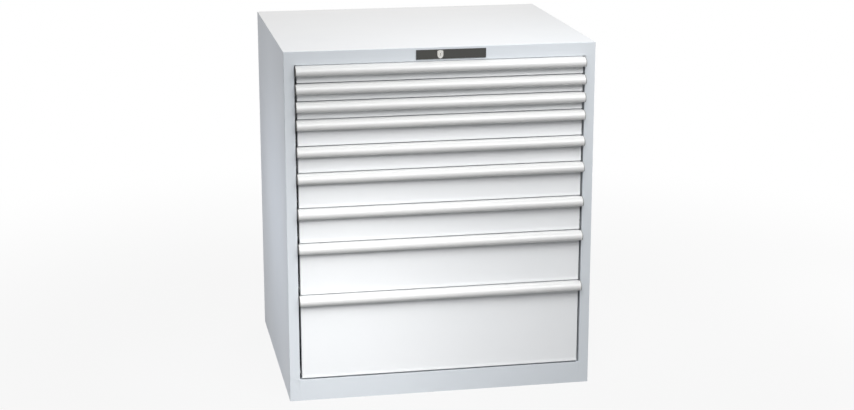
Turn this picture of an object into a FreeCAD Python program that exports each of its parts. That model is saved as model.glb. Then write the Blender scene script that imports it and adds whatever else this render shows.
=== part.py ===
import FreeCAD, Part
import math
import os

# Steel drawer cabinet with nine full-extension drawers, a full-width grip rail on each
# front and one central lock. Millimetres, +Z up, front towards -Y, left side at -X.
# Origin: middle of the footprint on the floor, grip rails included.

# Fronts, from the top drawer down: the height that each one takes in the opening
front_heights = [50.0, 50.0, 50.0, 75.0, 75.0, 100.0, 100.0, 150.0, 250.0]

# Trays
tray_inner_width = 765.0
tray_inner_depth = 612.0
tray_sheet = 1.0
tray_floor_rise = 5.0
tray_headroom = 7.0
rear_space = 90.5

# Housing
housing_sheet = 1.5
back_sheet = 1.0
stile_width = 29.0
stile_return = 20.0
runner_space = 22.5
top_rail_height = 38.0
bottom_rail_height = 62.0
rear_flange = 22.0
top_flange = 15.0
kick_flange = 40.0
base_panel_drop = 12.0
base_panel_flange = 15.0
anchor_hole_radius = 4.5
anchor_inset = 70.0

# Drawer fronts
front_sheet = 1.2
front_box_depth = 18.0
front_return = 12.0
side_gap = 6.0
front_gap = 1.5
lowest_front_gap = 5.0
lip_height = 10.0
lip_flare = 1.5

# Grip rails
handle_height = 28.0
handle_proud = 22.0
handle_wall = 2.0
handle_top_gap = 2.0
handle_end_gap = 1.0
handle_nose_radius = 12.0
handle_crown_angle = 45.0
handle_nose_angle = 150.0
cap_thickness = 1.5
cap_tongue_length = 12.0
cap_tongue_width = 6.0
cap_tongue_height = 3.0
cap_tongue_drop = 1.2
cap_tongue_play = 0.2

# Slotted uprights
upright_width = 30.0
upright_set_back = 1.0
upright_sheet = 2.0
slot_pitch = 25.0
slot_width = 4.0
slot_height = 12.0
slot_end_margin = 10.0
slot_clearance = 0.4
hook_rise = 21.0

# Telescopic runners
rail_sheet = 1.5
rail_floor_rise = 1.0
run_gap = 0.3
web_gap = 1.5
section_gap = 1.0
web_play = 0.5
roller_above_web = 0.4
lip_overlap = 2.0
upper_flange_set_back = 2.5
carry_roller_radius = 6.0
hold_roller_radius = 5.0
roller_axle_radius = 2.0
cabinet_roller_width = 6.5
drawer_roller_width = 4.4
hold_roller_width = 4.2
middle_lip_height = 8.0
middle_web_height = 15.0
drawer_rail_lip = 8.3
cabinet_rail_set_back = 2.6
cabinet_rail_length = 596.0
middle_rail_set_back = 4.0
middle_rail_length = 590.0
roller_end_inset = 9.0
glide_height = 2.2
glide_length = 24.0

# Central lock
lock_x = -5.0
lock_drop = 19.5
lock_plate_left = -72.0
lock_plate_right = 123.0
lock_plate_height = 26.0
lock_plate_thickness = 2.5
escutcheon_width = 16.5
escutcheon_height = 23.0
escutcheon_thickness = 1.5
escutcheon_arch_rise = 2.5
escutcheon_side_length = 11.5
escutcheon_side_bulge = 0.9
escutcheon_tip_width = 5.0
escutcheon_tip_rise = 0.6
plug_radius = 5.0
plug_clearance = 0.05
plug_hole_clearance = 0.5
plug_proud = 0.6
keyway_width = 1.6
keyway_height = 7.4
keyway_depth = 9.0
lock_body_width = 30.0
lock_body_height = 26.0
lock_body_depth = 20.0
cam_radius = 9.0
cam_thickness = 3.0
cam_pin_radius = 1.5
cam_pin_length = 3.6
link_thickness = 3.0
link_height = 14.0
link_overhang = 15.0
link_head_margin = 4.5
link_slot_clearance = 0.4
lock_turn = 90.0
guide_x = 300.0
guide_width = 20.0
guide_wall = 2.0
lock_travel = 8.0
bar_strip_width = 16.0
bar_pin_radius = 2.0
bar_pin_length = 3.6
bar_end_margin = 6.0
bar_side_gap = 1.0
dog_height = 6.0
dog_reach = 12.5
dog_rail_gap = 1.2
lug_height = 6.0
lug_thickness = 3.0
lug_reach = 20.5
lug_dog_gap = 1.5
lug_face_gap = 1.0
lug_base_length = 30.0
lug_base_thickness = 1.5

# How far a cut goes past the face that it opens
cut_past = 1.0

# Decimals to which two slot rows count as one
row_decimals = 3

# Widths and depths that follow
tray_half = tray_inner_width / 2 + tray_sheet
opening_half = tray_half + runner_space
front_half = opening_half - side_gap
housing_half = opening_half + stile_width
wall_half = housing_half - housing_sheet
handle_half = opening_half - handle_end_gap
tray_start = front_box_depth
tray_end = tray_start + tray_inner_depth + 2 * tray_sheet
housing_depth = tray_end + rear_space + back_sheet + housing_sheet
front_y = (handle_proud - housing_depth) / 2
back_y = front_y + housing_depth
inner_back_y = back_y - housing_sheet - back_sheet

# Heights that follow
opening_top = bottom_rail_height + sum(front_heights)
housing_height = opening_top + top_rail_height
panel_top = housing_height - housing_sheet
flange_top = panel_top - housing_sheet
base_top = bottom_rail_height - base_panel_drop

# Grip rail's crown arc, tangent to the top edge and to the nose arc
handle_crown_rise = math.sin(math.radians(handle_crown_angle))
handle_crown_radius = handle_nose_radius \
    + (handle_proud - handle_nose_radius - handle_wall) / handle_crown_rise

# Runner section, as distances out from the tray wall
middle_web_in = rail_sheet + web_gap
middle_web_out = middle_web_in + rail_sheet
drawer_roller_in = middle_web_out + run_gap
drawer_roller_out = drawer_roller_in + drawer_roller_width
drawer_rail_out = drawer_roller_out + run_gap + rail_sheet
glide_out = drawer_rail_out + section_gap / 2
cabinet_flange_in = drawer_rail_out + section_gap
cabinet_roller_in = glide_out + section_gap
cabinet_roller_out = cabinet_roller_in + cabinet_roller_width
upright_in = runner_space + housing_sheet + upright_set_back
cabinet_web_in = upright_in - rail_sheet
hold_roller_out = cabinet_web_in - web_play
hold_roller_in = hold_roller_out - hold_roller_width
middle_lip_out = hold_roller_in - run_gap
middle_lip_in = middle_lip_out - rail_sheet
cabinet_upper_in = cabinet_flange_in + upper_flange_set_back

# Runner section, as heights above the bottom of the front
carry_roller_rise = rail_floor_rise + rail_sheet + run_gap + carry_roller_radius
middle_flange_rise = carry_roller_rise + carry_roller_radius + run_gap
middle_lip_top = middle_flange_rise + middle_lip_height
hold_roller_rise = middle_lip_top - lip_overlap
cabinet_rail_top = hold_roller_rise + hold_roller_radius + run_gap + rail_sheet
middle_rail_top = middle_flange_rise + middle_web_height
drawer_roller_rise = middle_rail_top + roller_above_web - carry_roller_radius
drawer_ledge_rise = drawer_roller_rise + carry_roller_radius + run_gap
drawer_rail_top = drawer_ledge_rise + rail_sheet
glide_top_rise = middle_flange_rise - run_gap
glide_low_rise = glide_top_rise - glide_height

# Lock layers, as distances behind the front plane
plug_back = housing_sheet + lock_body_depth
cam_back = plug_back + cam_thickness
link_front = cam_back + run_gap
link_back = link_front + link_thickness
bar_front = link_back + run_gap
bar_back = bar_front + link_thickness
upright_start = bar_back + run_gap
lug_front = bar_back + lug_face_gap
cabinet_rail_start = upright_start + cabinet_rail_set_back
middle_rail_start = cabinet_rail_start + middle_rail_set_back
front_uprights_y = front_y + upright_start
rear_uprights_y = front_y + cabinet_rail_start + cabinet_rail_length - upright_width

# Lock heights and places across the front
half_turn = math.radians(lock_turn / 2)
cam_pin_offset = lock_travel / 2 / math.sin(half_turn)
cam_pin_x = lock_x - lock_travel / 2
dog_rise = drawer_rail_top + dog_rail_gap
lug_rise = dog_rise + dog_height + lug_dog_gap
lock_z = housing_height - lock_drop
cam_pin_z = lock_z + cam_pin_offset * math.cos(half_turn)
link_mid_z = lock_z + cam_pin_offset
bar_in = tray_half + upright_in + bar_side_gap
bar_out = bar_in + bar_strip_width
bar_pin_x = (bar_in + bar_out) / 2
bar_pin_z = link_mid_z - lock_travel / 2


def vector(x, y, z):
    return FreeCAD.Vector(x, y, z)


def block(x0, x1, y0, y1, z0, z1):
    return Part.makeBox(x1 - x0, y1 - y0, z1 - z0, vector(x0, y0, z0))


def along_x(outline, x0, x1):
    """Extrude a face given in (y, z) along X."""
    points = [vector(x0, y, z) for y, z in outline + outline[:1]]
    return Part.Face(Part.makePolygon(points)).extrude(vector(x1 - x0, 0, 0))


def along_y(outline, y0, y1):
    """Extrude a face given in (x, z) along Y."""
    points = [vector(x, y0, z) for x, z in outline + outline[:1]]
    return Part.Face(Part.makePolygon(points)).extrude(vector(0, y1 - y0, 0))


def round_x(x0, x1, y, z, radius):
    return Part.makeCylinder(radius, x1 - x0, vector(x0, y, z), vector(1, 0, 0))


def round_y(x, z, y0, y1, radius):
    return Part.makeCylinder(radius, y1 - y0, vector(x, y0, z), vector(0, 1, 0))


def round_z(x, y, z0, z1, radius):
    return Part.makeCylinder(radius, z1 - z0, vector(x, y, z0), vector(0, 0, 1))


def joined(pieces):
    return pieces[0].fuse(pieces[1:]).removeSplitter()


def mirrored(shape):
    return shape.mirror(vector(0, 0, 0), vector(1, 0, 0))


def both_sides(shape):
    return [shape, mirrored(shape)]


def save(name, pieces):
    solids = [solid for piece in pieces for solid in piece.Solids]
    for solid in solids:
        if not solid.isValid() or solid.Volume <= 0:
            raise ValueError("bad solid in " + name)
    shape = solids[0] if len(solids) == 1 else Part.makeCompound(solids)
    shape.exportStep("parts/" + name + ".step")


# Housing
def right_side_panel():
    """Side wall folded round to the front stile, the rear flange, the floor and the top."""
    wall = block(wall_half, housing_half, front_y, back_y, 0, panel_top)
    stile = block(opening_half, wall_half, front_y, front_y + housing_sheet, 0, panel_top)
    stile_lip = block(opening_half, opening_half + housing_sheet,
                      front_y, front_y + stile_return, bottom_rail_height, opening_top)
    rear = block(housing_half - rear_flange, wall_half, back_y - housing_sheet, back_y, 0, panel_top)
    floor_flange = block(opening_half, wall_half, front_y + housing_sheet, inner_back_y,
                         0, housing_sheet)
    for y in (front_y + anchor_inset, back_y - anchor_inset):
        x = (opening_half + wall_half) / 2
        hole = round_z(x, y, -cut_past, housing_sheet + cut_past, anchor_hole_radius)
        floor_flange = floor_flange.cut(hole)
    roof_flange = block(wall_half - top_flange, wall_half, front_y + housing_sheet, inner_back_y,
                        flange_top, panel_top)
    return joined([wall, stile, stile_lip, rear, floor_flange, roof_flange])


def back_panel():
    return block(-wall_half, wall_half, inner_back_y, inner_back_y + back_sheet, 0, panel_top)


def top_panel():
    return block(-housing_half, housing_half, front_y, back_y, panel_top, housing_height)


def base_panel():
    """Pan with edges folded down along the side walls."""
    y0 = front_y + stile_return
    floor = block(-wall_half, wall_half, y0, inner_back_y, base_top - housing_sheet, base_top)
    edge = block(wall_half - housing_sheet, wall_half, y0, inner_back_y,
                 base_top - base_panel_flange, base_top - housing_sheet)
    return joined([floor] + both_sides(edge))


def top_rail():
    """Front rail above the drawers, folded back below, with the hole for the lock."""
    face = block(-opening_half, opening_half, front_y, front_y + housing_sheet, opening_top, panel_top)
    lip = block(-opening_half, opening_half, front_y + housing_sheet, front_y + stile_return,
                opening_top, opening_top + housing_sheet)
    hole = round_y(lock_x, lock_z, front_y - cut_past, front_y + housing_sheet + cut_past,
                   plug_radius + plug_hole_clearance)
    return joined([face, lip]).cut(hole)


def bottom_rail():
    face = block(-opening_half, opening_half, front_y, front_y + housing_sheet, 0, bottom_rail_height)
    lip = block(-opening_half, opening_half, front_y + housing_sheet, front_y + stile_return,
                bottom_rail_height - housing_sheet, bottom_rail_height)
    foot = block(-opening_half, opening_half, front_y + housing_sheet, front_y + kick_flange,
                 0, housing_sheet)
    return joined([face, lip, foot])


def right_upright(y0):
    """Channel with one row of hook slots, standing on the base panel against the side wall."""
    inner = tray_half + upright_in
    web = block(inner, inner + upright_sheet, y0, y0 + upright_width, base_top, flange_top)
    front_leg = block(inner + upright_sheet, wall_half, y0, y0 + upright_sheet, base_top, flange_top)
    rear_leg = block(inner + upright_sheet, wall_half, y0 + upright_width - upright_sheet,
                     y0 + upright_width, base_top, flange_top)
    rows = {round(height + hook_rise, row_decimals) for height in drawer_bottoms()}
    z = bottom_rail_height + hook_rise
    while z + slot_height / 2 < opening_top - slot_end_margin:
        rows.add(round(z, row_decimals))
        z += slot_pitch
    middle = y0 + upright_width / 2
    slots = [block(inner - cut_past, inner + upright_sheet + cut_past,
                   middle - slot_width / 2, middle + slot_width / 2,
                   row - slot_height / 2, row + slot_height / 2) for row in sorted(rows)]
    return joined([web, front_leg, rear_leg]).cut(slots)


def drawer_bottoms():
    """Height of the bottom of each front's space, from the top drawer down."""
    heights = []
    z = opening_top
    for front_height in front_heights:
        z -= front_height
        heights.append(z)
    return heights


def runner(outline, height, start, length):
    """Runner section along Y, from (outwards, upwards) points on the right of the tray."""
    points = [(tray_half + out, height + up) for out, up in outline]
    return along_y(points, front_y + start, front_y + start + length)


def wheel(inner, outer, y, z, radius):
    return round_x(tray_half + inner, tray_half + outer, y, z, radius)


def right_cabinet_rail(height):
    """Channel open towards the tray, hung on the uprights by one hook at each end."""
    lower = rail_floor_rise
    upper = cabinet_rail_top
    outline = [(cabinet_flange_in, lower), (upright_in, lower), (upright_in, upper),
               (cabinet_upper_in, upper), (cabinet_upper_in, upper - rail_sheet),
               (cabinet_web_in, upper - rail_sheet), (cabinet_web_in, lower + rail_sheet),
               (cabinet_flange_in, lower + rail_sheet)]
    rail = runner(outline, height, cabinet_rail_start, cabinet_rail_length)
    inner = tray_half + cabinet_web_in
    outer = tray_half + upright_in + upright_sheet + slot_clearance
    half_width = slot_width / 2 - slot_clearance
    half_height = slot_height / 2 - slot_clearance
    z = height + hook_rise
    hooks = []
    for upright_y in (front_uprights_y, rear_uprights_y):
        y = upright_y + upright_width / 2
        hooks.append(block(inner, outer, y - half_width, y + half_width, z - half_height, z + half_height))
    return joined([rail] + hooks)


def right_cabinet_roller(height):
    """Roller on its axle, riveted to the cabinet rail's web under the middle rail."""
    y = front_y + cabinet_rail_start + roller_end_inset
    z = height + carry_roller_rise
    return joined([wheel(cabinet_roller_in, cabinet_roller_out, y, z, carry_roller_radius),
                   wheel(cabinet_roller_in, cabinet_web_in, y, z, roller_axle_radius)])


# Drawers
def right_middle_rail(height):
    """Middle member: a lower flange on the cabinet's roller, a web and an outer lip."""
    low = middle_flange_rise
    outline = [(middle_web_in, low), (middle_lip_out, low), (middle_lip_out, middle_lip_top),
               (middle_lip_in, middle_lip_top), (middle_lip_in, low + rail_sheet),
               (middle_web_out, low + rail_sheet), (middle_web_out, middle_rail_top),
               (middle_web_in, middle_rail_top)]
    return runner(outline, height, middle_rail_start, middle_rail_length)


def right_middle_rollers(height):
    """Front roller under the drawer's rail, and rear roller under the cabinet rail's top flange."""
    front = front_y + middle_rail_start + roller_end_inset
    rear = front_y + middle_rail_start + middle_rail_length - roller_end_inset
    carry_z = height + drawer_roller_rise
    hold_z = height + hold_roller_rise
    carrier = joined([wheel(drawer_roller_in, drawer_roller_out, front, carry_z, carry_roller_radius),
                      wheel(middle_web_out, drawer_roller_out, front, carry_z, roller_axle_radius)])
    holder = joined([wheel(hold_roller_in, hold_roller_out, rear, hold_z, hold_roller_radius),
                     wheel(middle_lip_out, hold_roller_out, rear, hold_z, roller_axle_radius)])
    return [carrier, holder]


def right_drawer_rail(height):
    """Rail welded to the tray wall: a downward channel over the middle rail's front roller."""
    inner = drawer_rail_out - rail_sheet
    lip_low = drawer_rail_top - drawer_rail_lip
    outline = [(0, glide_low_rise), (rail_sheet, glide_low_rise), (rail_sheet, drawer_ledge_rise),
               (inner, drawer_ledge_rise), (inner, lip_low), (drawer_rail_out, lip_low),
               (drawer_rail_out, drawer_rail_top), (0, drawer_rail_top)]
    return runner(outline, height, tray_start, tray_end - tray_start)


def right_glide(height):
    """Plastic glide at the rear of the drawer's rail, under the middle rail's flange."""
    return block(tray_half + rail_sheet, tray_half + glide_out,
                 front_y + tray_end - glide_length, front_y + tray_end,
                 height + glide_low_rise, height + glide_top_rise)


def lock_lug(height):
    """Angle on the right of the tray that the lock's dog stands in front of."""
    y0 = front_y + lug_front
    top = height + lug_rise + lug_height
    base = block(tray_half, tray_half + lug_base_thickness, y0, y0 + lug_base_length,
                 height + dog_rise, top)
    tab = block(tray_half, tray_half + lug_reach, y0, y0 + lug_thickness, height + lug_rise, top)
    return joined([base, tab])


def tray(height, front_height):
    """Open steel tray with a rail and a glide on each side and the lug for the lock."""
    z0 = height + tray_floor_rise
    z1 = height + front_height - tray_headroom
    y0 = front_y + tray_start
    y1 = front_y + tray_end
    outside = block(-tray_half, tray_half, y0, y1, z0, z1)
    inside = block(-tray_half + tray_sheet, tray_half - tray_sheet, y0 + tray_sheet, y1 - tray_sheet,
                   z0 + tray_sheet, z1 + cut_past)
    sides = both_sides(right_drawer_rail(height)) + both_sides(right_glide(height))
    return [outside.cut(inside)] + sides + [lock_lug(height)]


def drawer_front(bottom, top):
    """Folded front panel, welded to the tray by its returns, with a lower lip that flares out."""
    outer = [(0, top), (front_box_depth, top), (front_box_depth, bottom), (-lip_flare, bottom),
             (0, bottom + lip_height)]
    rear = front_box_depth - front_sheet
    beyond = front_box_depth + cut_past
    inner = [(front_sheet, top - front_sheet), (rear, top - front_sheet), (rear, top - front_return),
             (beyond, top - front_return), (beyond, bottom + front_return),
             (rear, bottom + front_return), (rear, bottom + front_sheet),
             (front_sheet - lip_flare, bottom + front_sheet), (front_sheet, bottom + lip_height)]
    shell = along_x([(front_y + y, z) for y, z in outer], -front_half, front_half)
    hollow = along_x([(front_y + y, z) for y, z in inner], -front_half + front_sheet,
                     front_half - front_sheet)
    return shell.cut(hollow)


def polar(centre, radius, angle):
    """Point on an arc in (y, z), with the angle taken from straight up towards the front."""
    turn = math.radians(angle)
    return (centre[0] - radius * math.sin(turn), centre[1] + radius * math.cos(turn))


def arc_edge(x, centre, radius, start, end):
    points = [polar(centre, radius, angle) for angle in (start, (start + end) / 2, end)]
    return Part.Arc(*[vector(x, y, z) for y, z in points]).toShape()


def line_edges(x, points):
    corners = [vector(x, y, z) for y, z in points]
    return [Part.makeLine(a, b) for a, b in zip(corners, corners[1:])]


def handle_centres(top):
    """Centres of the grip rail's crown arc and nose arc in (y, z)."""
    reach = handle_crown_radius - handle_nose_radius
    crown = (front_y - handle_wall, top - handle_crown_radius)
    return crown, polar(crown, reach, handle_crown_angle)


def handle_outer_edges(x, top):
    """Outline of the grip rail, up its back, over the crown and down to the nose's tip."""
    crown, nose = handle_centres(top)
    edges = line_edges(x, [(front_y, top - handle_height), (front_y, top), (front_y - handle_wall, top)])
    edges.append(arc_edge(x, crown, handle_crown_radius, 0, handle_crown_angle))
    edges.append(arc_edge(x, nose, handle_nose_radius, handle_crown_angle, handle_nose_angle))
    return edges


def handle_bar(top):
    """Extruded grip rail: a flange on the front panel and a curved hook to pull on."""
    x = -handle_half + cap_thickness
    bottom = top - handle_height
    crown, nose = handle_centres(top)
    inner_crown = handle_crown_radius - handle_wall
    inner_nose = handle_nose_radius - handle_wall
    flange = front_y - handle_wall
    edges = handle_outer_edges(x, top)
    edges += line_edges(x, [polar(nose, handle_nose_radius, handle_nose_angle),
                            polar(nose, inner_nose, handle_nose_angle)])
    edges.append(arc_edge(x, nose, inner_nose, handle_nose_angle, handle_crown_angle))
    edges.append(arc_edge(x, crown, inner_crown, handle_crown_angle, 0))
    edges += line_edges(x, [(flange, top - handle_wall), (flange, bottom), (front_y, bottom)])
    section = Part.Face(Part.Wire(edges))
    return section.extrude(vector(2 * (handle_half - cap_thickness), 0, 0))


def right_end_cap(top):
    """Moulded cap of the grip rail's outline, with a tongue inside the hollow of the rail."""
    x = handle_half - cap_thickness
    tip = polar(handle_centres(top)[1], handle_nose_radius, handle_nose_angle)
    edges = handle_outer_edges(x, top) + line_edges(x, [tip, (front_y, top - handle_height)])
    plate = Part.Face(Part.Wire(edges)).extrude(vector(cap_thickness, 0, 0))
    tongue_y = front_y - handle_wall - cap_tongue_play
    tongue_z = top - handle_wall - cap_tongue_drop
    tongue = block(x - cap_tongue_length, x, tongue_y - cap_tongue_width, tongue_y,
                   tongue_z - cap_tongue_height, tongue_z)
    return joined([plate, tongue])


# Central lock
def lock_plate():
    plate = block(lock_plate_left, lock_plate_right, front_y - lock_plate_thickness, front_y,
                  lock_z - lock_plate_height / 2, lock_z + lock_plate_height / 2)
    return plate.cut(lock_bore())


def lock_bore():
    """Running bore for the plug, from in front of the escutcheon to behind the lock body."""
    front = front_y - lock_plate_thickness - escutcheon_thickness - cut_past
    return round_y(lock_x, lock_z, front, front_y + plug_back + cut_past,
                   plug_radius + plug_clearance)


def escutcheon():
    """Shield: a low arch on top, straight sides, and two curves down to a rounded tip."""
    y = front_y - lock_plate_thickness
    half = escutcheon_width / 2
    tip_half = escutcheon_tip_width / 2
    top = lock_z + escutcheon_height / 2
    shoulder = top - escutcheon_arch_rise
    waist = shoulder - escutcheon_side_length
    bottom = lock_z - escutcheon_height / 2
    tip = bottom + escutcheon_tip_rise
    belly = (half + tip_half) / 2 + escutcheon_side_bulge
    belly_z = (waist + tip) / 2 - escutcheon_side_bulge

    def point(x, z):
        return vector(lock_x + x, y, z)

    edges = [Part.Arc(point(-half, shoulder), point(0, top), point(half, shoulder)).toShape(),
             Part.makeLine(point(half, shoulder), point(half, waist)),
             Part.Arc(point(half, waist), point(belly, belly_z), point(tip_half, tip)).toShape(),
             Part.Arc(point(tip_half, tip), point(0, bottom), point(-tip_half, tip)).toShape(),
             Part.Arc(point(-tip_half, tip), point(-belly, belly_z), point(-half, waist)).toShape(),
             Part.makeLine(point(-half, waist), point(-half, shoulder))]
    shield = Part.Face(Part.Wire(edges)).extrude(vector(0, -escutcheon_thickness, 0))
    return shield.cut(lock_bore())


def lock_housing():
    """Die-cast body behind the rail, and the staple that guides the link."""
    body = block(lock_x - lock_body_width / 2, lock_x + lock_body_width / 2,
                 front_y + housing_sheet, front_y + plug_back,
                 lock_z - lock_body_height / 2, lock_z + lock_body_height / 2).cut(lock_bore())
    low = link_mid_z - link_height / 2 - run_gap
    high = link_mid_z + link_height / 2 + run_gap
    near = front_y + housing_sheet
    far = front_y + link_back + run_gap
    staple = block(guide_x, guide_x + guide_width, near, far + guide_wall, low - guide_wall,
                   high + guide_wall)
    gap = block(guide_x - cut_past, guide_x + guide_width + cut_past, near + guide_wall, far, low, high)
    return [body, staple.cut(gap)]


def lock_cylinder():
    """Plug with its keyway, and the cam on its tail with the pin that drives the link."""
    face = front_y - lock_plate_thickness - escutcheon_thickness - plug_proud
    plug = round_y(lock_x, lock_z, face, front_y + plug_back, plug_radius)
    keyway = block(lock_x - keyway_width / 2, lock_x + keyway_width / 2,
                   face - cut_past, face + keyway_depth,
                   lock_z - keyway_height / 2, lock_z + keyway_height / 2)
    cam = round_y(lock_x, lock_z, front_y + plug_back, front_y + cam_back, cam_radius)
    pin = round_y(cam_pin_x, cam_pin_z, front_y + cam_back, front_y + cam_back + cam_pin_length,
                  cam_pin_radius)
    return joined([plug.cut(keyway), cam, pin])


def lock_link():
    """Flat link behind the top rail: an upright slot for the cam pin, a sloping one for the bar."""
    y0 = front_y + link_front
    y1 = front_y + link_back
    head_left = bar_pin_x - lock_travel - link_head_margin
    head_right = bar_pin_x + link_head_margin
    strip = block(lock_x - link_overhang, head_right, y0, y1,
                  link_mid_z - link_height / 2, link_mid_z + link_height / 2)
    head = block(head_left, head_right, y0, y1,
                 bar_pin_z - link_head_margin, bar_pin_z + lock_travel + link_head_margin)
    near = y0 - cut_past
    far = y1 + cut_past
    cam_reach = cam_pin_radius + link_slot_clearance
    cam_slot = block(cam_pin_x - cam_reach, cam_pin_x + cam_reach, near, far,
                     cam_pin_z - cam_reach, link_mid_z + cam_reach)
    bar_reach = bar_pin_radius + link_slot_clearance
    low = (bar_pin_x, bar_pin_z)
    high = (bar_pin_x - lock_travel, bar_pin_z + lock_travel)
    slope = bar_reach * math.sin(math.radians(45))
    side = [(low[0] - slope, low[1] - slope), (low[0] + slope, low[1] + slope),
            (high[0] + slope, high[1] + slope), (high[0] - slope, high[1] - slope)]
    bar_slot = [round_y(x, z, near, far, bar_reach) for x, z in (low, high)]
    return joined([strip, head]).cut([cam_slot, along_y(side, near, far)] + bar_slot)


def locking_bar():
    """Upright strip behind the right stile, with one dog for each drawer and a pin on top."""
    y0 = front_y + bar_front
    y1 = front_y + bar_back
    bottoms = drawer_bottoms()
    strip = block(bar_in, bar_out, y0, y1, min(bottoms) + dog_rise - bar_end_margin,
                  bar_pin_z + bar_end_margin)
    dogs = [block(tray_half + dog_reach, bar_in, y0, y1, height + dog_rise,
                  height + dog_rise + dog_height) for height in bottoms]
    pin = round_y(bar_pin_x, bar_pin_z, y0 - bar_pin_length, y0, bar_pin_radius)
    return [strip, pin] + dogs


def build():
    os.makedirs("parts", exist_ok=True)
    side = right_side_panel()
    save("side_panel_right", [side])
    save("side_panel_left", [mirrored(side)])
    save("back_panel", [back_panel()])
    save("top_panel", [top_panel()])
    save("base_panel", [base_panel()])
    save("front_rails", [top_rail(), bottom_rail()])
    uprights = [right_upright(front_uprights_y), right_upright(rear_uprights_y)]
    save("slotted_uprights", uprights + [mirrored(upright) for upright in uprights])

    bottoms = drawer_bottoms()
    rails = []
    rollers = []
    for height in bottoms:
        rails += both_sides(right_cabinet_rail(height))
        rollers += both_sides(right_cabinet_roller(height))
    save("cabinet_rails", rails)
    save("cabinet_rollers", rollers)

    for number, (height, front_height) in enumerate(zip(bottoms, front_heights), start=1):
        name = "drawer_" + str(number) + "_"
        handle_top = height + front_height - handle_top_gap
        lower_gap = lowest_front_gap if number == len(front_heights) else front_gap
        middle = both_sides(right_middle_rail(height))
        for roller in right_middle_rollers(height):
            middle += both_sides(roller)
        save(name + "tray", tray(height, front_height))
        save(name + "front", [drawer_front(height + lower_gap, height + front_height - front_gap)])
        save(name + "handle", [handle_bar(handle_top)])
        save(name + "end_caps", both_sides(right_end_cap(handle_top)))
        save(name + "middle_rails", middle)

    save("lock_plate", [lock_plate()])
    save("lock_escutcheon", [escutcheon()])
    save("lock_housing", lock_housing())
    save("lock_cylinder", [lock_cylinder()])
    save("lock_link", [lock_link()])
    save("locking_bar", locking_bar())


build()
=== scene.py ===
import bpy
import math
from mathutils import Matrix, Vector


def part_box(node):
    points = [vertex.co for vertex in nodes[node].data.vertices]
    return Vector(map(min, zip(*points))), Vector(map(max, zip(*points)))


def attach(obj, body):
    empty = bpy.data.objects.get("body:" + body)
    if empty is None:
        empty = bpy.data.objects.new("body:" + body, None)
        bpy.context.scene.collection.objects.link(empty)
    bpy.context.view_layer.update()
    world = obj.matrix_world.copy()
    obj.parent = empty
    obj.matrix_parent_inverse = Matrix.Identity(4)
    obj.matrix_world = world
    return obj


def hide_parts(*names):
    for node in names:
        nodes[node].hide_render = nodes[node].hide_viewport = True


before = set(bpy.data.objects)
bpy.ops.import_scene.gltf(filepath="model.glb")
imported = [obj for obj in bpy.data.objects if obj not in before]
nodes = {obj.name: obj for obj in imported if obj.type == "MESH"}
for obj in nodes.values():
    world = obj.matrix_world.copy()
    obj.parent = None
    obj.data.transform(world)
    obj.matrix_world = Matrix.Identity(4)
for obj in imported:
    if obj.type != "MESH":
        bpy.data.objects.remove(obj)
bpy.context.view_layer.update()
bpy.ops.object.select_all(action="DESELECT")


# View
# A long lens five metres away, to the left of the cabinet and above its top, turned and
# tilted so that the cabinet stands where it does in the picture.
camera_place = (-0.9313, -5.056, 1.8322)
camera_turn = 10.71
camera_tilt = 14.93
film_width = 36.0
lens_length = 74.91
view_depth = 60.0

bpy.ops.object.camera_add(location=camera_place)
camera = bpy.context.object
camera.rotation_euler = (math.radians(90 - camera_tilt), 0, math.radians(-camera_turn))
camera.data.sensor_width = film_width
camera.data.lens = lens_length
camera.data.clip_end = view_depth
bpy.context.scene.camera = camera
bpy.context.scene.view_settings.view_transform = "Standard"


# Studio
# A white floor that melts into a white room. Camera and mirror rays see both at full white,
# less the soft shadow that the cabinet leaves round its foot.
floor_width = 40.0
floor_corners = 96
shadow_inner = 0.9
shadow_outer = 2.6
shadow_tone = 0.9
room_light = 0.2
spot_radius = 0.4


def linear(colour):
    """Linear RGBA of an sRGB hex colour."""
    parts = [int(colour[i:i + 2], 16) / 255 for i in (0, 2, 4)]
    return [c / 12.92 if c <= 0.04045 else ((c + 0.055) / 1.055) ** 2.4 for c in parts] + [1.0]


def add_node(tree, kind, settings=(), values=(), links=()):
    """Adds a shader node, with its settings, its plain values and its (node, output) links."""
    node = tree.nodes.new(kind)
    for name, value in dict(settings).items():
        setattr(node, name, value)
    for name, value in dict(values).items():
        node.inputs[name].default_value = value
    for name, (source, output) in dict(links).items():
        tree.links.new(source.outputs[output], node.inputs[name])
    return node


def empty_material(name):
    """Material that has no nodes yet, and its node tree."""
    material = bpy.data.materials.new(name)
    material.use_nodes = True
    material.node_tree.nodes.clear()
    return material, material.node_tree


bpy.ops.mesh.primitive_circle_add(vertices=floor_corners, radius=floor_width / 2,
                                  fill_type="NGON")
floor = bpy.context.object
floor.name = "studio_floor"

paper, tree = empty_material("white_studio_paper")
matt = add_node(tree, "ShaderNodeBsdfDiffuse", values={"Color": linear("969696")})
glow = add_node(tree, "ShaderNodeEmission", values={"Color": linear("ffffff"), "Strength": 1.0})
path = add_node(tree, "ShaderNodeLightPath")
place = add_node(tree, "ShaderNodeTexCoord")
distance = add_node(tree, "ShaderNodeVectorMath", {"operation": "LENGTH"},
                    links={0: (place, "Object")})
fade = add_node(tree, "ShaderNodeMapRange", {"interpolation_type": "SMOOTHSTEP"},
                {"From Min": shadow_inner, "From Max": shadow_outer,
                 "To Min": shadow_tone, "To Max": 1.0},
                {"Value": (distance, "Value")})
seen = add_node(tree, "ShaderNodeMath", {"operation": "MAXIMUM"},
                links={0: (path, "Is Camera Ray"), 1: (path, "Is Glossy Ray")})
white = add_node(tree, "ShaderNodeMath", {"operation": "MULTIPLY"},
                 links={0: (seen, "Value"), 1: (fade, "Result")})
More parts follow.
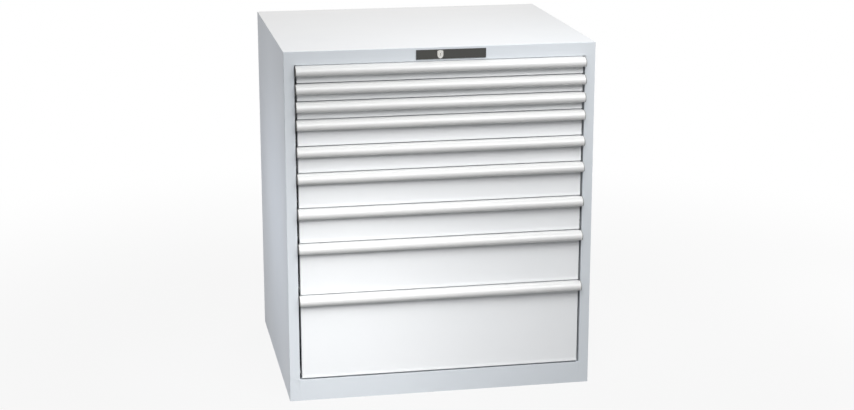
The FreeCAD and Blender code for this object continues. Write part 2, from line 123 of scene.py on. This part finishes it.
both = add_node(tree, "ShaderNodeMixShader",
                links={0: (white, "Value"), 1: (matt, "BSDF"), 2: (glow, "Emission")})
add_node(tree, "ShaderNodeOutputMaterial", links={"Surface": (both, "Shader")})
floor.data.materials.append(paper)

room = bpy.data.worlds.new("white_room")
room.use_nodes = True
tree = room.node_tree
tree.nodes.clear()
ambient = add_node(tree, "ShaderNodeBackground",
                   values={"Color": linear("f4f8ff"), "Strength": room_light})
backdrop = add_node(tree, "ShaderNodeBackground",
                    values={"Color": linear("ffffff"), "Strength": 1.0})
path = add_node(tree, "ShaderNodeLightPath")
seen = add_node(tree, "ShaderNodeMath", {"operation": "MAXIMUM"},
                links={0: (path, "Is Camera Ray"), 1: (path, "Is Glossy Ray")})
clear = add_node(tree, "ShaderNodeMath", {"operation": "MAXIMUM"},
                 links={0: (seen, "Value"), 1: (path, "Is Transmission Ray")})
both = add_node(tree, "ShaderNodeMixShader",
                links={0: (clear, "Value"), 1: (ambient, "Background"),
                       2: (backdrop, "Background")})
add_node(tree, "ShaderNodeOutputWorld", links={"Surface": (both, "Shader")})
bpy.context.scene.world = room


# Lamps: a broad softbox in front and above, three spots that lay a band of light across the
# front from lower left to upper right, one lamp behind the top, and one for each wall.
def add_lamp(kind, name, place, target, size, watts, tint="ffffff"):
    """Adds a lamp that points at a target and can't be seen itself. Its size is the side of
    an area lamp in metres, or the cone of a spot in degrees."""
    bpy.ops.object.light_add(type=kind, location=place)
    lamp = bpy.context.object
    lamp.name = "lamp_" + name
    lamp.data.energy = watts
    lamp.data.color = linear(tint)[:3]
    lamp.visible_camera = False
    away = Vector(place) - Vector(target)
    lamp.rotation_euler = away.to_track_quat("Z", "Y").to_euler()
    if kind == "AREA":
        lamp.data.shape = "SQUARE"
        lamp.data.size = size
    else:
        lamp.data.spot_size = math.radians(size)
        lamp.data.spot_blend = 1.0
        lamp.data.shadow_soft_size = spot_radius


add_lamp("AREA", "front_key", (0.0, -2.3, 3.1), (0.0, -0.35, 0.5), 2.8, 80.0)
add_lamp("SPOT", "lower_left", (-0.5, -1.25, 0.95), (-0.33, -0.35, 0.0), 64, 40.0)
add_lamp("SPOT", "middle", (-0.1, -1.6, 2.0), (0.05, -0.35, 0.5), 46, 11.0)
add_lamp("SPOT", "upper_right", (0.8, -1.5, 2.2), (0.32, -0.35, 0.7), 52, 50.0)
add_lamp("AREA", "behind_top", (0.0, 1.2, 2.6), (0.0, 0.0, 1.0), 1.5, 18.5, "ffeedd")
add_lamp("AREA", "left_wall", (-1.0, -0.06, 0.49), (-0.435, -0.06, 0.49), 0.12, 1.25, "e8f0ff")
add_lamp("AREA", "right_wall", (1.75, 0.2, 0.6), (0.435, 0.0, 0.5), 0.8, 11.5)
add_lamp("AREA", "back_wall", (0.3, 1.8, 0.45), (0.0, 0.37, 0.5), 0.8, 14.0)


# Housing
# Sheet steel, 1.5 mm, folded on a press brake and welded along its seams. The welds are
# ground flush, so the sheets meet with no line, and every outer fold has a small radius.
wall_low, wall_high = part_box("side_panel_right")
front_y, back_y = wall_low.y, wall_high.y
outer_x = wall_high.x
top_low, top_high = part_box("top_panel")
opening_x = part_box("front_rails")[1].x
opening_low = 0.062
opening_high = 0.962
fold_radius = 0.002
fold_steps = 3
cut_edge = 0.0008

# Corners closer than one_corner are merged. A point counts as in a plane within slack of it,
# and a hairline is the smallest gap that is left between two edges.
one_corner = 0.00001
slack = 0.00005
hairline = 0.0001
straight = 0.999
flat_turn = math.radians(1)
smooth_turn = math.radians(32)


def only(piece):
    """Makes a piece the one thing that the next operators act on."""
    bpy.ops.object.select_all(action="DESELECT")
    piece.select_set(True)
    bpy.context.view_layer.objects.active = piece


def pick(piece, kind, chosen):
    """Goes into edit mode on a piece with only its chosen edges or polygons selected."""
    only(piece)
    mesh = piece.data
    bpy.context.tool_settings.mesh_select_mode = (False, kind == "edges", kind == "polygons")
    bpy.ops.object.mode_set(mode="EDIT")
    bpy.ops.mesh.select_all(action="DESELECT")
    bpy.ops.object.mode_set(mode="OBJECT")
    corners = mesh.vertices
    for part in getattr(mesh, kind):
        part.select = bool(chosen([corners[i].co for i in part.vertices]))
    bpy.ops.object.mode_set(mode="EDIT")


def bench_copy(node, name, wanted=None):
    """Copy of a node's own shape, or of its wanted part, welded into clean flat faces."""
    piece = nodes[node].copy()
    piece.data = nodes[node].data.copy()
    piece.name = name
    piece.data.name = name
    bpy.context.scene.collection.objects.link(piece)
    piece.hide_render = False
    piece.hide_viewport = False
    piece.hide_set(False)
    piece.parent = None
    for key in list(piece.keys()):
        del piece[key]
    piece.data.materials.clear()
    if wanted:
        pick(piece, "polygons", lambda points: not wanted(points))
        bpy.ops.mesh.delete(type="FACE")
        bpy.ops.object.mode_set(mode="OBJECT")
    only(piece)
    bpy.ops.object.mode_set(mode="EDIT")
    bpy.ops.mesh.select_all(action="SELECT")
    bpy.ops.mesh.customdata_custom_splitnormals_clear()
    bpy.ops.mesh.remove_doubles(threshold=one_corner)
    bpy.ops.mesh.dissolve_limited(angle_limit=flat_turn)
    bpy.ops.object.mode_set(mode="OBJECT")
    return piece


def all_at(points, axis, value):
    """True where every point lies in one plane across an axis."""
    return all(abs(point[axis] - value) < slack for point in points)


def all_at_any(points, axis, values):
    """True where every point lies in one of several planes across an axis."""
    return any(all_at(points, axis, value) for value in values)


def along(points, axis):
    """True for an edge that runs along an axis."""
    step = points[1] - points[0]
    return abs(step[axis]) > straight * step.length


def cut_across(piece, axis, value):
    """Adds an edge all round a piece where a plane across an axis meets it."""
    pick(piece, "polygons", lambda points: True)
    place = [0, 0, 0]
    place[axis] = value
    side = [0, 0, 0]
    side[axis] = 1
    bpy.ops.mesh.bisect(plane_co=place, plane_no=side)
    bpy.ops.object.mode_set(mode="OBJECT")


def ease(piece, chosen, radius, steps=fold_steps):
    """Rounds the chosen edges of a piece."""
    pick(piece, "edges", chosen)
    bpy.ops.mesh.bevel(offset=radius, offset_type="OFFSET", segments=steps, affect="EDGES")
    bpy.ops.object.mode_set(mode="OBJECT")


def repeat_along(piece, axis, step, count):
    """Repeats a piece along an axis, with the corners merged where two copies meet."""
    only(piece)
    bpy.ops.object.modifier_add(type="ARRAY")
    row = piece.modifiers[-1]
    row.count = count
    row.use_relative_offset = False
    row.use_constant_offset = True
    row.constant_offset_displace = [step if side == axis else 0 for side in range(3)]
    row.use_merge_vertices = True
    row.merge_threshold = hairline
    bpy.ops.object.modifier_apply(modifier=row.name)


def finish_piece(piece, material, slot, body, *replaced):
    """Smooths the rounded edges, gives a piece its finish and ties it to its body and nodes."""
    only(piece)
    bpy.ops.object.shade_smooth_by_angle(angle=smooth_turn)
    bpy.ops.object.modifier_add(type="WEIGHTED_NORMAL")
    piece.modifiers[-1].keep_sharp = True
    bpy.ops.object.modifier_apply(modifier=piece.modifiers[-1].name)
    piece.data.materials.clear()
    piece.data.materials.append(material)
    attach(piece, body)
    if replaced:
        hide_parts(*replaced)


# A powder coat's colour clouds over a hand's width, and its peel is a few millimetres across.
# A Mix node has two colours and a result under these numbers.
cloud_size = 0.18
peel_size = 0.0035
rough_spread = 0.05
colour_a, colour_b, colour_mixed = 6, 7, 2


def powder_coat(name, colour, shade, roughness):
    """Baked powder coat: a fine orange peel of a few millimetres that softens what it mirrors."""
    material, tree = empty_material(name)
    place = add_node(tree, "ShaderNodeTexCoord")
    cloud = add_node(tree, "ShaderNodeTexNoise", values={"Scale": 1 / cloud_size, "Detail": 3.0},
                     links={"Vector": (place, "Object")})
    peel = add_node(tree, "ShaderNodeTexNoise", values={"Scale": 1 / peel_size, "Detail": 2.0},
                    links={"Vector": (place, "Object")})
    tint = add_node(tree, "ShaderNodeMix", {"data_type": "RGBA"},
                    {colour_a: linear(colour), colour_b: linear(shade)}, {0: (cloud, "Fac")})
    rough = add_node(tree, "ShaderNodeMapRange",
                     values={"To Min": roughness - rough_spread,
                             "To Max": roughness + rough_spread},
                     links={"Value": (cloud, "Fac")})
    bump = add_node(tree, "ShaderNodeBump", values={"Strength": 0.12, "Distance": 0.0001},
                    links={"Height": (peel, "Fac")})
    skin = add_node(tree, "ShaderNodeBsdfPrincipled",
                    values={"IOR": 1.5, "Specular IOR Level": 0.3},
                    links={"Base Color": (tint, colour_mixed), "Roughness": (rough, "Result"),
                           "Normal": (bump, "Normal")})
    add_node(tree, "ShaderNodeOutputMaterial", links={"Surface": (skin, "BSDF")})
    return material


housing_coat = powder_coat("powder_coat_light_grey", "dde2e6", "dadfe4", 0.38)

# The back sheet is spot-welded to the folds of the walls, which leaves a row of shallow dents.
weld_radius = 0.003
weld_depth = 0.0003
weld_sides = 20
weld_inset = 0.011
weld_low = 0.06
weld_step = 0.11
weld_count = 9


def press_welds(sheet, x):
    """Sinks the row of weld dents into the back of a sheet."""
    bpy.ops.object.select_all(action="DESELECT")
    bpy.ops.mesh.primitive_cylinder_add(vertices=weld_sides, radius=weld_radius,
                                        depth=2 * weld_depth, location=(x, back_y, weld_low),
                                        rotation=(math.pi / 2, 0, 0))
    dents = bpy.context.object
    bpy.ops.object.transform_apply(location=True, rotation=True, scale=True)
    repeat_along(dents, 2, weld_step, weld_count)
    only(sheet)
    bpy.ops.object.modifier_add(type="BOOLEAN")
    press = sheet.modifiers[-1]
    press.operation = "DIFFERENCE"
    press.object = dents
    bpy.ops.object.modifier_apply(modifier=press.name)
    bpy.data.objects.remove(dents)


for side, sign in (("right", 1), ("left", -1)):
    wall = bench_copy("side_panel_" + side, "side_wall_" + side)
    cut_across(wall, 2, opening_low)
    cut_across(wall, 2, opening_high)
    ease(wall, lambda ends: along(ends, 2) and all_at(ends, 0, sign * outer_x)
         and all_at_any(ends, 1, (front_y, back_y)), fold_radius)
    ease(wall, lambda ends: along(ends, 2) and all_at(ends, 0, sign * opening_x)
         and all_at(ends, 1, front_y)
         and opening_low < (ends[0].z + ends[1].z) / 2 < opening_high, cut_edge)
    press_welds(wall, sign * (outer_x - weld_inset))
    finish_piece(wall, housing_coat, "housing_paint", "cabinet", "side_panel_" + side)

roof = bench_copy("top_panel", "top_sheet")
roof_fold = top_high.z - top_low.z - hairline
ease(roof, lambda ends: along(ends, 2) or all_at(ends, 2, top_high.z), roof_fold)
finish_piece(roof, housing_coat, "housing_paint", "cabinet", "top_panel")

for node, name in (("back_panel", "back_sheet"), ("base_panel", "floor_pan")):
    finish_piece(bench_copy(node, name), housing_coat, "housing_paint", "cabinet", node)

rails = bench_copy("front_rails", "front_rail_sheets")
ease(rails, lambda ends: along(ends, 0) and all_at(ends, 1, front_y)
     and all_at_any(ends, 2, (opening_low, opening_high)), cut_edge)
finish_piece(rails, housing_coat, "housing_paint", "cabinet", "front_rails")


# Drawer fronts
# Folded steel boxes with a white coat. Each has rounded outer folds, a lower lip that kicks
# out by a millimetre and a half, and returns behind that are welded to the tray.
front_sheet = 0.0012
front_fold = 0.0016
front_return = 0.012
lip_height = 0.010
lip_bend = 0.0012
front_coat = powder_coat("powder_coat_white", "f5f6f7", "f3f5f6", 0.32)
drawer_count = sum("_front" in node for node in nodes)
drawers = ["drawer_" + str(number + 1) for number in range(drawer_count)]


def block(name, low, high):
    """Box between two corners, from which a folded or extruded piece is shaped."""
    bpy.ops.object.select_all(action="DESELECT")
    middle = [(start + end) / 2 for start, end in zip(low, high)]
    bpy.ops.mesh.primitive_cube_add(size=1, location=middle)
    piece = bpy.context.object
    piece.name = name
    piece.scale = [end - start for start, end in zip(low, high)]
    bpy.ops.object.transform_apply(location=True, rotation=True, scale=True)
    return piece


def thicken(piece, sheet, side, even=False):
    """Gives a surface the thickness of its sheet, outwards (side 1) or inwards (side -1)."""
    only(piece)
    bpy.ops.object.modifier_add(type="SOLIDIFY")
    shell = piece.modifiers[-1]
    shell.thickness = sheet
    shell.offset = side
    shell.use_even_offset = even
    bpy.ops.object.modifier_apply(modifier=shell.name)


for drawer in drawers:
    low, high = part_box(drawer + "_front")
    flare = front_y - low.y
    front = block(drawer + "_front_box", (low.x, front_y, low.z), high)
    cut_across(front, 2, low.z + lip_height)
    pick(front, "edges", lambda ends: all_at(ends, 1, front_y) and all_at(ends, 2, low.z))
    bpy.ops.transform.translate(value=(0, -flare, 0))
    bpy.ops.object.mode_set(mode="OBJECT")
    pick(front, "polygons", lambda points: all_at(points, 1, high.y))
    bpy.ops.mesh.inset(thickness=front_return, depth=0)
    bpy.ops.mesh.delete(type="FACE")
    bpy.ops.object.mode_set(mode="OBJECT")
    thicken(front, front_sheet, -1, even=True)

    def in_face(ends):
        """True for an edge of the front's outer face."""
        return max(end.y for end in ends) < front_y + front_sheet / 2

    def outer_fold(ends):
        """True for an edge where two outer faces meet: a rim of the front's face, or one of
        the four corners that run back from it."""
        return (in_face(ends) + all_at_any(ends, 0, (low.x, high.x))
                + all_at_any(ends, 2, (low.z, high.z))) > 1

    ease(front, lambda ends: in_face(ends) and all_at(ends, 2, low.z + lip_height), lip_bend)
    ease(front, outer_fold, front_fold)
    finish_piece(front, front_coat, "front_paint", drawer, drawer + "_front")


# Grip rails
# White lacquered aluminium extrusions, one across each front: a flat foot on the front and
# a hook that curls over to pull on. The die leaves fine lines along them.
hook_wall = 0.002
nose_radius = 0.012
crown_turn = math.radians(45)
crown_steps = 10
nose_turn = math.radians(150)
nose_steps = 20
tip_radius = 0.0007

lacquer, tree = empty_material("white_lacquered_aluminium")
place = add_node(tree, "ShaderNodeTexCoord")
lengthwise = add_node(tree, "ShaderNodeMapping", values={"Scale": (2.0, 700.0, 700.0)},
                      links={"Vector": (place, "Object")})
die_lines = add_node(tree, "ShaderNodeTexNoise", values={"Scale": 1.0, "Detail": 2.0},
                     links={"Vector": (lengthwise, "Vector")})
rough = add_node(tree, "ShaderNodeMapRange", values={"To Min": 0.26, "To Max": 0.36},
                 links={"Value": (die_lines, "Fac")})
bump = add_node(tree, "ShaderNodeBump", values={"Strength": 0.08, "Distance": 0.0001},
                links={"Height": (die_lines, "Fac")})
skin = add_node(tree, "ShaderNodeBsdfPrincipled",
                values={"Base Color": linear("e0e0df"), "IOR": 1.5},
                links={"Roughness": (rough, "Result"), "Normal": (bump, "Normal")})
add_node(tree, "ShaderNodeOutputMaterial", links={"Surface": (skin, "BSDF")})

for drawer in drawers:
    low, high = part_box(drawer + "_handle")
    proud = front_y - low.y
    crown_radius = nose_radius + (proud - nose_radius - hook_wall) / math.sin(crown_turn)
    reach = crown_radius - nose_radius
    crown = (0, front_y - hook_wall, high.z - crown_radius)
    nose = (0, crown[1] - reach * math.sin(crown_turn), crown[2] + reach * math.cos(crown_turn))
    grip = block(drawer + "_grip_rail", (low.x, front_y - hook_wall, low.z),
                 (high.x, front_y, high.z))
    cut_across(grip, 2, high.z - hook_wall)
    pick(grip, "polygons", lambda points: all_at(points, 1, front_y - hook_wall)
         and min(point.z for point in points) > high.z - 1.5 * hook_wall)
    bpy.ops.mesh.spin(steps=crown_steps, angle=crown_turn, center=crown, axis=(-1, 0, 0))
    bpy.ops.mesh.spin(steps=nose_steps, angle=nose_turn - crown_turn, center=nose,
                      axis=(-1, 0, 0))
    bpy.ops.mesh.select_all(action="SELECT")
    bpy.ops.mesh.remove_doubles(threshold=one_corner)
    bpy.ops.mesh.normals_make_consistent(inside=False)
    bpy.ops.object.mode_set(mode="OBJECT")
    tips = [nose[2] + radius * math.cos(nose_turn)
            for radius in (nose_radius, nose_radius - hook_wall)]
    ease(grip, lambda ends: along(ends, 0) and all_at_any(ends, 2, tips)
         and ends[0].y < nose[1], tip_radius)
    finish_piece(grip, lacquer, "handle_lacquer", drawer, drawer + "_handle")


# End caps
# Charcoal nylon caps that plug the ends of the grip rails. They come matt from the mould,
# with a very fine spark grain and softened edges.
cap_edge = 0.0004
cap_steps = 2


def moulded_plastic(name, colour, low, high, grain=0.0008):
    """Plastic from a spark-eroded mould: an even grain that keeps it matt from all sides."""
    material, tree = empty_material(name)
    place = add_node(tree, "ShaderNodeTexCoord")
    spark = add_node(tree, "ShaderNodeTexNoise", values={"Scale": 1 / grain, "Detail": 3.0},
                     links={"Vector": (place, "Object")})
    rough = add_node(tree, "ShaderNodeMapRange", values={"To Min": low, "To Max": high},
                     links={"Value": (spark, "Fac")})
    bump = add_node(tree, "ShaderNodeBump", values={"Strength": 0.3, "Distance": 0.00005},
                    links={"Height": (spark, "Fac")})
    skin = add_node(tree, "ShaderNodeBsdfPrincipled",
                    values={"Base Color": linear(colour), "IOR": 1.5},
                    links={"Roughness": (rough, "Result"), "Normal": (bump, "Normal")})
    add_node(tree, "ShaderNodeOutputMaterial", links={"Surface": (skin, "BSDF")})
    return material


nylon = moulded_plastic("charcoal_moulded_nylon", "4a4a46", 0.5, 0.65)

for drawer in drawers:
    low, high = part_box(drawer + "_end_caps")
    caps = bench_copy(drawer + "_end_caps", drawer + "_nylon_caps")
    ease(caps, lambda ends: all_at_any(ends, 0, (low.x, high.x)), cap_edge, cap_steps)
    finish_piece(caps, nylon, "cap_plastic", drawer, drawer + "_end_caps")


# Trays
# Steel pans, 1 mm, folded and welded at the corners. Rows of slots on a 17 mm grid take the
# edges of partition sheets, and the coat inside is a light grey.
tray_sheet = 0.001
tray_fold = 0.0015
tray_steps = 2
slot_pitch = 0.017
slot_width = 0.003
slot_height = 0.018
slot_margin = 0.008
tall_wall = 0.080
pan_half = 0.3835
tray_coat = powder_coat("powder_coat_silver_grey", "c6cacd", "c2c6ca", 0.42)


def joined(pieces, name):
    """Makes one piece of several."""
    only(pieces[0])
    for piece in pieces:
        piece.select_set(True)
    bpy.ops.object.join()
    pieces[0].name = name
    pieces[0].data.name = name
    return pieces[0]


def slotted_wall(start, axis, pitches, z_low, z_high, rows):
    """Wall of one sheet: one slotted pitch, repeated along X (axis 0) or Y (axis 1)."""
    centre = [start[0], start[1], (z_low + z_high) / 2]
    centre[axis] += slot_pitch / 2
    turn = (math.pi / 2, 0, 0) if axis == 0 else (math.pi / 2, 0, math.pi / 2)
    bpy.ops.object.select_all(action="DESELECT")
    bpy.ops.mesh.primitive_plane_add(size=1, location=centre, rotation=turn)
    wall = bpy.context.object
    wall.scale = (slot_pitch, z_high - z_low, 1)
    bpy.ops.object.transform_apply(location=True, rotation=True, scale=True)
    for sign in (-1, 1):
        cut_across(wall, axis, centre[axis] + sign * slot_width / 2)
    for row in rows:
        cut_across(wall, 2, row)
        cut_across(wall, 2, row + slot_height)

    def in_slot(points):
        """True for the face that a slot takes out."""
        lowest = min(point.z for point in points)
        return (all(abs(point[axis] - centre[axis]) < slot_width for point in points)
                and any(abs(lowest - row) < hairline for row in rows))

    pick(wall, "polygons", in_slot)
    bpy.ops.mesh.delete(type="FACE")
    bpy.ops.object.mode_set(mode="OBJECT")
    repeat_along(wall, axis, slot_pitch, pitches)
    return wall


for drawer in drawers:
    low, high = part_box(drawer + "_tray")
    inside = [corner.co.z for corner in nodes[drawer + "_tray"].data.vertices
              if abs(corner.co.x) < pan_half - tray_sheet / 2]
    x = pan_half - tray_sheet
    y_low, y_high = low.y + tray_sheet, high.y - tray_sheet
    z_low, z_high = low.z + tray_sheet, max(inside)
    rows = [z_high - slot_margin - slot_height]
    if z_high - z_low > tall_wall:
        rows.append(z_low + slot_margin)
    across = round(2 * x / slot_pitch)
    deep = round((y_high - y_low) / slot_pitch)
    walls = [slotted_wall((-x, y), 0, across, z_low, z_high, rows) for y in (y_low, y_high)]
    walls += [slotted_wall((side, y_low), 1, deep, z_low, z_high, rows) for side in (-x, x)]
    pan = joined(walls, drawer + "_pan")
    pick(pan, "edges", lambda ends: True)
    bpy.ops.mesh.remove_doubles(threshold=hairline)
    bpy.ops.object.mode_set(mode="OBJECT")
    pick(pan, "edges", lambda ends: all_at(ends, 2, z_low))
    bpy.ops.mesh.edge_face_add()
    bpy.ops.mesh.select_all(action="SELECT")
    bpy.ops.mesh.normals_make_consistent(inside=False)
    bpy.ops.object.mode_set(mode="OBJECT")
    ease(pan, lambda ends: all_at(ends, 2, z_low) or along(ends, 2)
         and all_at_any(ends, 0, (-x, x)) and all_at_any(ends, 1, (y_low, y_high)),
         tray_fold, tray_steps)
    thicken(pan, tray_sheet, 1)
    finish_piece(pan, tray_coat, "tray_paint", drawer, drawer + "_tray")


# Runners
# Galvanised steel sections: hung in the uprights, riding on rollers, and welded to the trays.
# The zinc has a pattern of crystals a few millimetres across, and dulls from grain to grain.
crystal_size = 0.006
rolled_edge = 0.0003
rolled_steps = 2
sharp_turn = math.radians(30)

zinc, tree = empty_material("galvanised_steel")
place = add_node(tree, "ShaderNodeTexCoord")
crystals = add_node(tree, "ShaderNodeTexVoronoi", values={"Scale": 1 / crystal_size},
                    links={"Vector": (place, "Object")})
grey = add_node(tree, "ShaderNodeSeparateColor", links={"Color": (crystals, "Color")})
tint = add_node(tree, "ShaderNodeMix", {"data_type": "RGBA"},
                {colour_a: linear("aeb3b6"), colour_b: linear("c9cdcf")}, {0: (grey, "Red")})
rough = add_node(tree, "ShaderNodeMapRange", values={"To Min": 0.34, "To Max": 0.52},
                 links={"Value": (grey, "Green")})
skin = add_node(tree, "ShaderNodeBsdfPrincipled", values={"Metallic": 1.0},
                links={"Base Color": (tint, colour_mixed), "Roughness": (rough, "Result")})
add_node(tree, "ShaderNodeOutputMaterial", links={"Surface": (skin, "BSDF")})

# Acetal is waxy and off-white. Its mould is polished, so the grain hardly shows.
acetal = moulded_plastic("white_acetal", "e9e9e5", 0.32, 0.4, 0.0015)


def bare_metal(name, light, dark, low, high, grain, relief=0.1):
    """Metal with the marks of its making, whose grain has a size along X, Y and Z."""
    material, tree = empty_material(name)
    place = add_node(tree, "ShaderNodeTexCoord")
    sized = add_node(tree, "ShaderNodeMapping",
                     values={"Scale": [1 / length for length in grain]},
                     links={"Vector": (place, "Object")})
    marks = add_node(tree, "ShaderNodeTexNoise", values={"Scale": 1.0, "Detail": 4.0},
                     links={"Vector": (sized, "Vector")})
    tint = add_node(tree, "ShaderNodeMix", {"data_type": "RGBA"},
                    {colour_a: linear(dark), colour_b: linear(light)}, {0: (marks, "Fac")})
    rough = add_node(tree, "ShaderNodeMapRange", values={"To Min": low, "To Max": high},
                     links={"Value": (marks, "Fac")})
    bump = add_node(tree, "ShaderNodeBump", values={"Strength": relief, "Distance": 0.0001},
                    links={"Height": (marks, "Fac")})
    skin = add_node(tree, "ShaderNodeBsdfPrincipled", values={"Metallic": 1.0},
                    links={"Base Color": (tint, colour_mixed), "Roughness": (rough, "Result"),
                           "Normal": (bump, "Normal")})
    add_node(tree, "ShaderNodeOutputMaterial", links={"Surface": (skin, "BSDF")})
    return material


# Rollers are turned about X, so the tool leaves fine rings round them, a third of a
# millimetre apart, that catch the light as thin lines.
turned_steel = bare_metal("turned_steel", "bfc0c1", "8f9193", 0.22, 0.38, (0.0003, 0.02, 0.02))


def soften(piece):
    """Takes the sharpness off every edge of a piece that turns by more than 30 degrees."""
    only(piece)
    bpy.ops.object.modifier_add(type="BEVEL")
    bevel = piece.modifiers[-1]
    bevel.width = rolled_edge
    bevel.segments = rolled_steps
    bevel.limit_method = "ANGLE"
    bevel.angle_limit = sharp_turn
    bevel.harden_normals = False
    bpy.ops.object.modifier_apply(modifier=bevel.name)
    return piece


for node, name in (("slotted_uprights", "upright_channels"), ("cabinet_rails", "hung_rails")):
    finish_piece(soften(bench_copy(node, name)), zinc, "galvanised_steel", "cabinet", node)

# These tell apart what is fixed to a tray's sides: heights over its floor up to which the
# rail, the glide pad and the lock lug go, and their lengths along Y.
rail_sheet = 0.0015
above_floor = 0.001
above_rail = 0.028
above_glide = 0.010
glide_length = 0.024
lug_high = 0.045
lug_zone = 0.050
wheel_reach = 0.014

for number, drawer in enumerate(drawers, start=1):
    tray = drawer + "_tray"
    low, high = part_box(tray)

    def beside_pan(points, z_low, z_high):
        """True for a face that lies outside the pan and between two heights over its floor."""
        return all(abs(point.x) > pan_half - slack and z_low < point.z - low.z < z_high
                   for point in points)

    def of_glide(points):
        """True for a face of the pad at the rear end of a rail."""
        return all(abs(point.x) > pan_half + rail_sheet - slack
                   and point.y > high.y - glide_length - slack
                   and point.z - low.z < above_glide for point in points)

    rails = soften(bench_copy(tray, drawer + "_tray_rails",
                              lambda points: beside_pan(points, above_floor, above_rail)
                              and not of_glide(points)))
    finish_piece(rails, zinc, "galvanised_steel", drawer)
    glides = soften(bench_copy(tray, drawer + "_glide_pads",
                               lambda points: beside_pan(points, above_floor, above_rail)
                               and of_glide(points)))
    finish_piece(glides, acetal, "cap_plastic", drawer)
    lug = soften(bench_copy(tray, drawer + "_lock_lug",
                            lambda points: beside_pan(points, above_rail, lug_high)
                            and points[0].y < low.y + lug_zone))
    finish_piece(lug, zinc, "galvanised_steel", drawer)

    body = "middle_rails_" + str(number)
    middle_rails = drawer + "_middle_rails"
    low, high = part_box(middle_rails)

    def of_wheel(points):
        """True for a face of a roller or its axle, which lies clear of the rail's ends."""
        width = max(point.y for point in points) - min(point.y for point in points)
        return width < wheel_reach and not all_at_any(points, 1, (low.y, high.y))

    sections = soften(bench_copy(middle_rails, drawer + "_middle_sections",
                                 lambda points: not of_wheel(points)))
    finish_piece(sections, zinc, "galvanised_steel", body, middle_rails)
    wheels = soften(bench_copy(middle_rails, drawer + "_rollers", of_wheel))
    finish_piece(wheels, turned_steel, "roller_steel", body)

cabinet_wheels = soften(bench_copy("cabinet_rollers", "rail_rollers"))
finish_piece(cabinet_wheels, turned_steel, "roller_steel", "cabinet", "cabinet_rollers")


# Lock
# A black moulded plate with a nickel shield and plug. Behind it, a die-cast body, a flat link
# and a locking bar of galvanised steel.
shield_rim = 0.0016
shield_dish = 0.0005

# The plate comes satin from a finely eroded mould: soft highlights, and nothing mirrored.
black_plastic = moulded_plastic("black_moulded_plastic", "373734", 0.4, 0.5)

# Satin nickel is plated over fine blasting, which spreads what it mirrors evenly.
nickel = bare_metal("satin_nickel", "dddcd8", "cfcec9", 0.22, 0.3, (0.0006, 0.0006, 0.0006),
                    relief=0.05)

# Die-cast zinc comes dull from the die, with cloudy flow marks about a centimetre long.
cast_zinc = bare_metal("die_cast_zinc", "a9abac", "85888a", 0.42, 0.6, (0.008, 0.008, 0.012))

shield = bench_copy("lock_escutcheon", "lock_shield")
shield_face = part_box("lock_escutcheon")[0].y
pick(shield, "polygons", lambda points: all_at(points, 1, shield_face))
bpy.ops.mesh.inset(thickness=shield_rim, depth=-shield_dish)
bpy.ops.object.mode_set(mode="OBJECT")
finish_piece(soften(shield), nickel, "lock_chrome", "cabinet", "lock_escutcheon")

for node, name, material, slot, body in (
        ("lock_plate", "lock_cover", black_plastic, "lock_plastic", "cabinet"),
        ("lock_cylinder", "lock_plug", nickel, "lock_chrome", "lock_cylinder"),
        ("lock_housing", "lock_casting", cast_zinc, "zinc_casting", "cabinet"),
        ("lock_link", "lock_link_bar", zinc, "galvanised_steel", "lock_link"),
        ("locking_bar", "lock_dog_bar", zinc, "galvanised_steel", "locking_bar")):
    finish_piece(soften(bench_copy(node, name)), material, slot, body, node)
